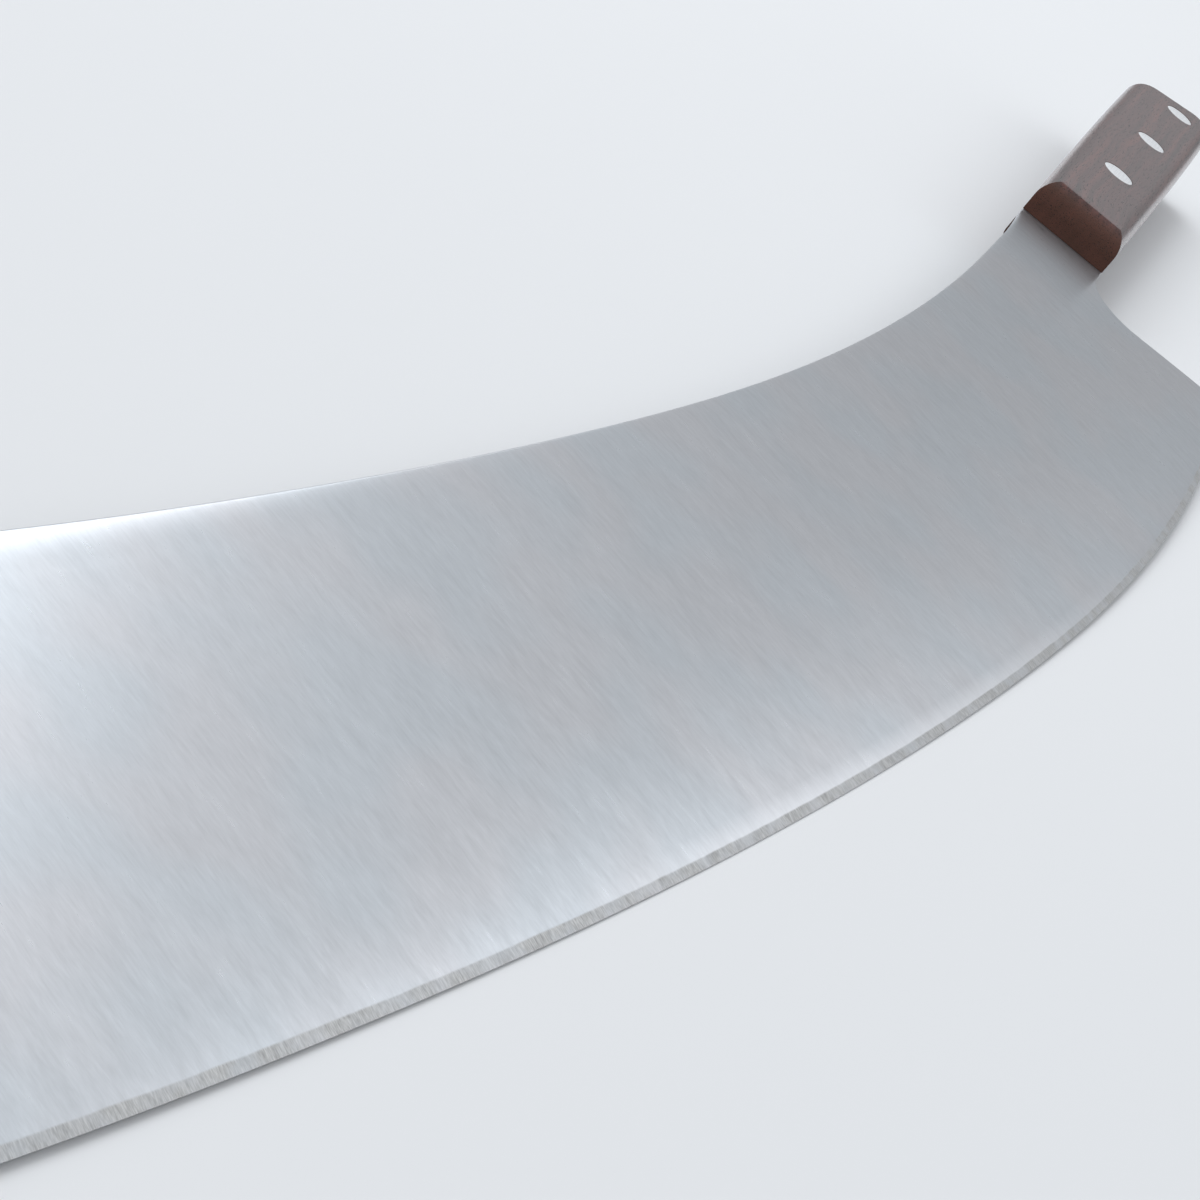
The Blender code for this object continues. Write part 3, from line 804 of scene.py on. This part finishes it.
def frontCutter(low, top):
    # Cuts the front slope and the rounding over it, as a profile in X and Z
    slope = scale["frontSlope"]
    turn = pi / 2 - slope
    radius = scale["frontRounding"]
    bottom = low - scale["lapUnder"]
    start = (bottom - scale["lift"]) * tan(slope)
    middle = (top - scale["lift"]) * tan(slope) + radius * tan(turn / 2)
    steps = scale["frontSteps"]
    profile = [(start, bottom)]
    for i in range(steps + 1):
        angle = turn * (1 - i / steps)
        height = top - radius * (1 - cos(angle)) + cutting["skim"]
        profile.append((middle - radius * sin(angle), height))
    over = top + cutting["spare"]
    before = start - cutting["wedgeLength"]
    profile += [(middle, over), (before, over), (before, bottom)]
    half = cutting["wedgeHalfWidth"]
    cutter = prism("wedge", [Vector(p) for p in profile], -half, half)
    cutter.data.transform(Matrix.Rotation(pi / 2, 4, "X"))
    return cutter


def easeFront(item, low):
    # Takes the sharpness off the side corners of the front slope and its rounding
    shape = bmesh.new()
    shape.from_mesh(item.data)
    front = [face for face in shape.faces if abs(face.normal.y) < scale["easedSideways"]
             and face.normal.x < -scale["easedForward"]]
    edges = []
    for face in front:
        for edge in face.edges:
            others = [other for other in edge.link_faces if other not in front]
            sharp = edge.calc_face_angle(0) > scale["easedFrom"]
            under = all(abs(vert.co.z - low) < cutting["onLevel"] for vert in edge.verts)
            if others and sharp and not under and edge not in edges:
                edges.append(edge)
    bmesh.ops.bevel(shape, geom=edges, offset=scale["frontEasing"], segments=scale["easingSegments"],
                    profile=0.5, affect="EDGES", clamp_overlap=True)
    shape.to_mesh(item.data)
    shape.free()


# Rosewood, planed, sanded and oiled: dark brown with near-black pore lines along the handle and a
# soft sheen that turns grey at a flat angle
wood = {
    "dark": hexColour("#2a1413"),
    "middle": hexColour("#4c2a29"),
    "light": hexColour("#683a33"),
    "endGrain": hexColour("#4c2a19"),
    "pore": hexColour("#120906"),
    "sides": {"Roughness": 0.36, "Coat Weight": 1.0, "Coat Roughness": 0.22},
    "front": {"Roughness": 0.5, "Specular IOR Level": 0.35},
    # sizes along the handle and twice across it, as on the real wood
    "bandMm": (90, 2.6, 2.6),
    "bandLevels": (0.34, 0.5, 0.68),
    "poreMm": (3.2, 0.16, 0.16),
    "poreLevels": (0.60, 0.70),
    "poreDepth": 0.00004,
    "poreRougher": 0.3,
    "warpScale": 28,  # bends of the grain in a metre
    "warpReach": (0, 0.004, 0.004),
    "endMost": 0.8,  # how much of a face turned fully to the handle's end is end grain
    "endRise": 2.64,
    "endStart": 0.6,
    "pieceShift": (0.31, 0.17, 0.07),  # moves the grain on from piece to piece
}


def woodMaterial(name, offset, finish):
    material, tree, shader = newMaterial(name, {"IOR": 1.5, **finish})
    moved = addNode(tree, "ShaderNodeMapping", links={"Vector": ownPlace(tree)})
    moved.inputs["Location"].default_value = offset
    warp = addNode(tree, "ShaderNodeTexNoise", {"Scale": wood["warpScale"], "Detail": 2.0},
                   {"Vector": moved.outputs[0]})
    bent = addNode(tree, "ShaderNodeVectorMath", {"operation": "MULTIPLY_ADD", 1: wood["warpReach"]},
                   {0: warp.outputs["Color"], 2: moved.outputs[0]}).outputs[0]
    bands = stretchedNoise(tree, bent, wood["bandMm"], detail=4.0, roughness=0.6)
    stops = list(zip(wood["bandLevels"], (wood["dark"], wood["middle"], wood["light"])))
    body = addNode(tree, "ShaderNodeValToRGB", {"stops": stops}, {"Fac": bands})
    # End grain drinks more oil, so the sloped front and the butt are darker
    ends = addNode(tree, "ShaderNodeAttribute", {"attribute_name": "endGrain"})
    shaded = addNode(tree, "ShaderNodeMix", {"data_type": "RGBA", 7: wood["endGrain"]},
                     {0: ends.outputs["Fac"], 6: body.outputs["Color"]})
    poreNoise = stretchedNoise(tree, bent, wood["poreMm"], detail=1.0)
    low, high = wood["poreLevels"]
    pores = addNode(tree, "ShaderNodeMapRange", {1: low, 2: high}, {0: poreNoise}).outputs[0]
    colour = addNode(tree, "ShaderNodeMix", {"data_type": "RGBA", 7: wood["pore"]},
                     {0: pores, 6: shaded.outputs[2]})
    tree.links.new(colour.outputs[2], shader.inputs["Base Color"])
    rough = addNode(tree, "ShaderNodeMapRange",
                    {3: finish["Roughness"], 4: finish["Roughness"] + wood["poreRougher"]}, {0: pores})
    tree.links.new(rough.outputs[0], shader.inputs["Roughness"])
    bump = addNode(tree, "ShaderNodeBump", {"Strength": 0.7, "Distance": wood["poreDepth"], "invert": True},
                   {"Height": pores})
    tree.links.new(bump.outputs[0], shader.inputs["Normal"])
    return material


def makeRivetHead(name, nodes, place, mirrored, side, steel):
    # A turned head: a flat crown, an eased rim and its shank down to the tang, as one profile
    top = scale["lift"] + scale["thickness"]
    radius = rivet["headRadius"]
    low = top - rivet["headThickness"]
    crown = rivet["crown"]
    easing = rivet["rimEasing"]
    shank = rivet["shankRadius"]
    end = blade["thickness"] / 2
    profile = [(radius * share, top - crown * fall) for share, fall in rivet["crownShape"]]
    inset, fall = rivet["easingMiddle"]
    profile += [(radius - easing, top - crown), (radius - easing * inset, top - crown - easing * fall),
                (radius, top - crown - easing), (radius, low), (shank, low), (shank, end), (0, end)]
    shape = bmesh.new()
    verts = [shape.verts.new((r, 0, z)) for r, z in profile]
    edges = [shape.edges.new(pair) for pair in zip(verts, verts[1:])]
    bmesh.ops.spin(shape, geom=verts + edges, cent=(0, 0, 0), axis=(0, 0, 1), angle=2 * pi,
                   steps=rivet["turnSteps"], use_merge=True)
    bmesh.ops.remove_doubles(shape, verts=shape.verts, dist=cutting["axisWeld"])
    bmesh.ops.recalc_face_normals(shape, faces=shape.faces)
    mesh = bpy.data.meshes.new(name)
    shape.to_mesh(mesh)
    shape.free()
    item = linkObject(name, mesh)
    if side < 0:
        mesh.transform(Matrix.Rotation(pi, 4, "X"))
    mesh.materials.append(steel)
    finishShading(item, rivet["sharpAngle"])
    along, across = place
    across *= -1 if mirrored else 1
    layDown(item, knifePlace @ handleMatrix(mirrored) @ Matrix.Translation((along, across, 0)))
    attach(item, "root")
    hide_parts(*nodes)


# Rivet steel, filed flush with the wood: a satin face, pale from any side, with a few fine lines
# along the handle
rivetFinish = {
    "material": "stainless steel, filed and satin finished",
    "colour": hexColour("#e6e8ea"),
    "darkLine": 0.88,
    "levels": (0.36, 0.6),
    "lineMm": (5, 0.12, 0.12),
    "roughness": (0.72, 0.57),
    "bumpStrength": 0.6,
    "lineDepth": 0.000004,
}


makeBlade()
headSteel = linedSteel(rivetFinish)
for handIndex, (hand, mirrored) in enumerate((("right", False), ("left", True))):
    for faceIndex, (face, side) in enumerate((("front", 1), ("back", -1))):
        steps = (handIndex, faceIndex, handIndex + faceIndex)
        offset = [shift * step for shift, step in zip(wood["pieceShift"], steps)]
        woods = [woodMaterial(f"rosewood, oiled and buffed, {face} {hand}", offset, wood["sides"]),
                 woodMaterial(f"rosewood end grain, oiled, {face} {hand}", offset, wood["front"])]
        makeScale(f"woodScale_{face}_{hand}", f"scale_{face}_{hand}", mirrored, side, woods)
    for number, place in enumerate(rivetPlaces(), 1):
        makeRivetHead(f"rivetHead_front_{hand}_{number}", [f"rivet_socket_{hand}_{number}"], place,
                      mirrored, 1, headSteel)
        makeRivetHead(f"rivetHead_back_{hand}_{number}", [f"rivet_pin_{hand}_{number}"], place,
                      mirrored, -1, headSteel)
print("handles: 4 scales, 12 rivet heads")


# Studio: a pale floor, an even world and soft boxes
studio = {
    "floorColour": hexColour("#e4e6e8"),
    "wallColour": hexColour("#d9dcdf"),
    "tint": (0.984, 1.0, 1.024),  # daylight softboxes, a little cool
    # sine of the height above the horizon, brightness
    "sky": [(0.0, 0.223), (0.07, 0.223), (0.208, 0.358), (0.342, 0.525), (0.485, 0.563), (0.643, 0.992),
            (0.799, 0.63), (0.966, 0.391)],
    "floorSize": 12,
    "boxDistance": 1.5,
    "boxSize": 0.55,
    "wattsPerRadiance": 4,  # for each square metre of a box
}
# Direction from +X and height above the floor in degrees, and brightness
softBoxes = {
    "boxBehind": {"azimuth": 50, "elevation": 42, "radiance": 2.166},
    "boxHigh": {"azimuth": 60, "elevation": 65, "radiance": 3.868},
    "boxOver": {"azimuth": 0, "elevation": 65, "radiance": 0.49},
    "boxAhead": {"azimuth": -10, "elevation": 42, "radiance": 0.617},
    "boxSide": {"azimuth": -50, "elevation": 42, "radiance": 0.473},
    "boxNear": {"azimuth": -60, "elevation": 65, "radiance": 0.395},
    "boxLow": {"azimuth": 45, "elevation": 20, "radiance": 0.568},
    "boxLeft": {"azimuth": 95, "elevation": 42, "radiance": 0.754},
    "boxBack": {"azimuth": 130, "elevation": 42, "radiance": 0.71},
}


def makeFloor():
    shape = bmesh.new()
    bmesh.ops.create_grid(shape, x_segments=1, y_segments=1, size=studio["floorSize"] / 2)
    mesh = bpy.data.meshes.new("floor")
    shape.to_mesh(mesh)
    shape.free()
    floor = linkObject("floor", mesh)
    # Matt paint, so that nothing mirrors in it
    board = newMaterial("painted board, matt", {"Base Color": studio["floorColour"], "Roughness": 0.9,
                                                "Specular IOR Level": 0.2})
    mesh.materials.append(board[0])


def makeLights():
    world = bpy.data.worlds.new("studio")
    world.use_nodes = True
    bpy.context.scene.world = world
    tree = world.node_tree
    background = tree.nodes["Background"]
    direction = addNode(tree, "ShaderNodeTexCoord").outputs["Generated"]
    height = addNode(tree, "ShaderNodeSeparateXYZ", links={0: direction}).outputs["Z"]
    stops = [(place, [value * t for t in studio["tint"]] + [1]) for place, value in studio["sky"]]
    # Past the floor the camera sees an even pale wall
    fromCamera = addNode(tree, "ShaderNodeLightPath").outputs["Is Camera Ray"]
    sky = addNode(tree, "ShaderNodeValToRGB", {"stops": stops}, {"Fac": height}).outputs["Color"]
    seen = addNode(tree, "ShaderNodeMix", {"data_type": "RGBA", 7: studio["wallColour"]},
                   {0: fromCamera, 6: sky})
    tree.links.new(seen.outputs[2], background.inputs["Color"])
    for name, box in softBoxes.items():
        azimuth = radians(box["azimuth"])
        elevation = radians(box["elevation"])
        away = Vector((cos(azimuth) * cos(elevation), sin(azimuth) * cos(elevation), sin(elevation)))
        lamp = bpy.data.lights.new(name, "AREA")
        lamp.size = studio["boxSize"]
        lamp.color = studio["tint"]
        lamp.energy = studio["wattsPerRadiance"] * box["radiance"] * studio["boxSize"] ** 2
        item = linkObject(name, lamp)
        item.location = away * studio["boxDistance"]
        item.rotation_euler = away.to_track_quat("Z", "Y").to_euler()


makeFloor()
makeLights()
bpy.context.scene.view_settings.view_transform = "Standard"
print("studio ready")
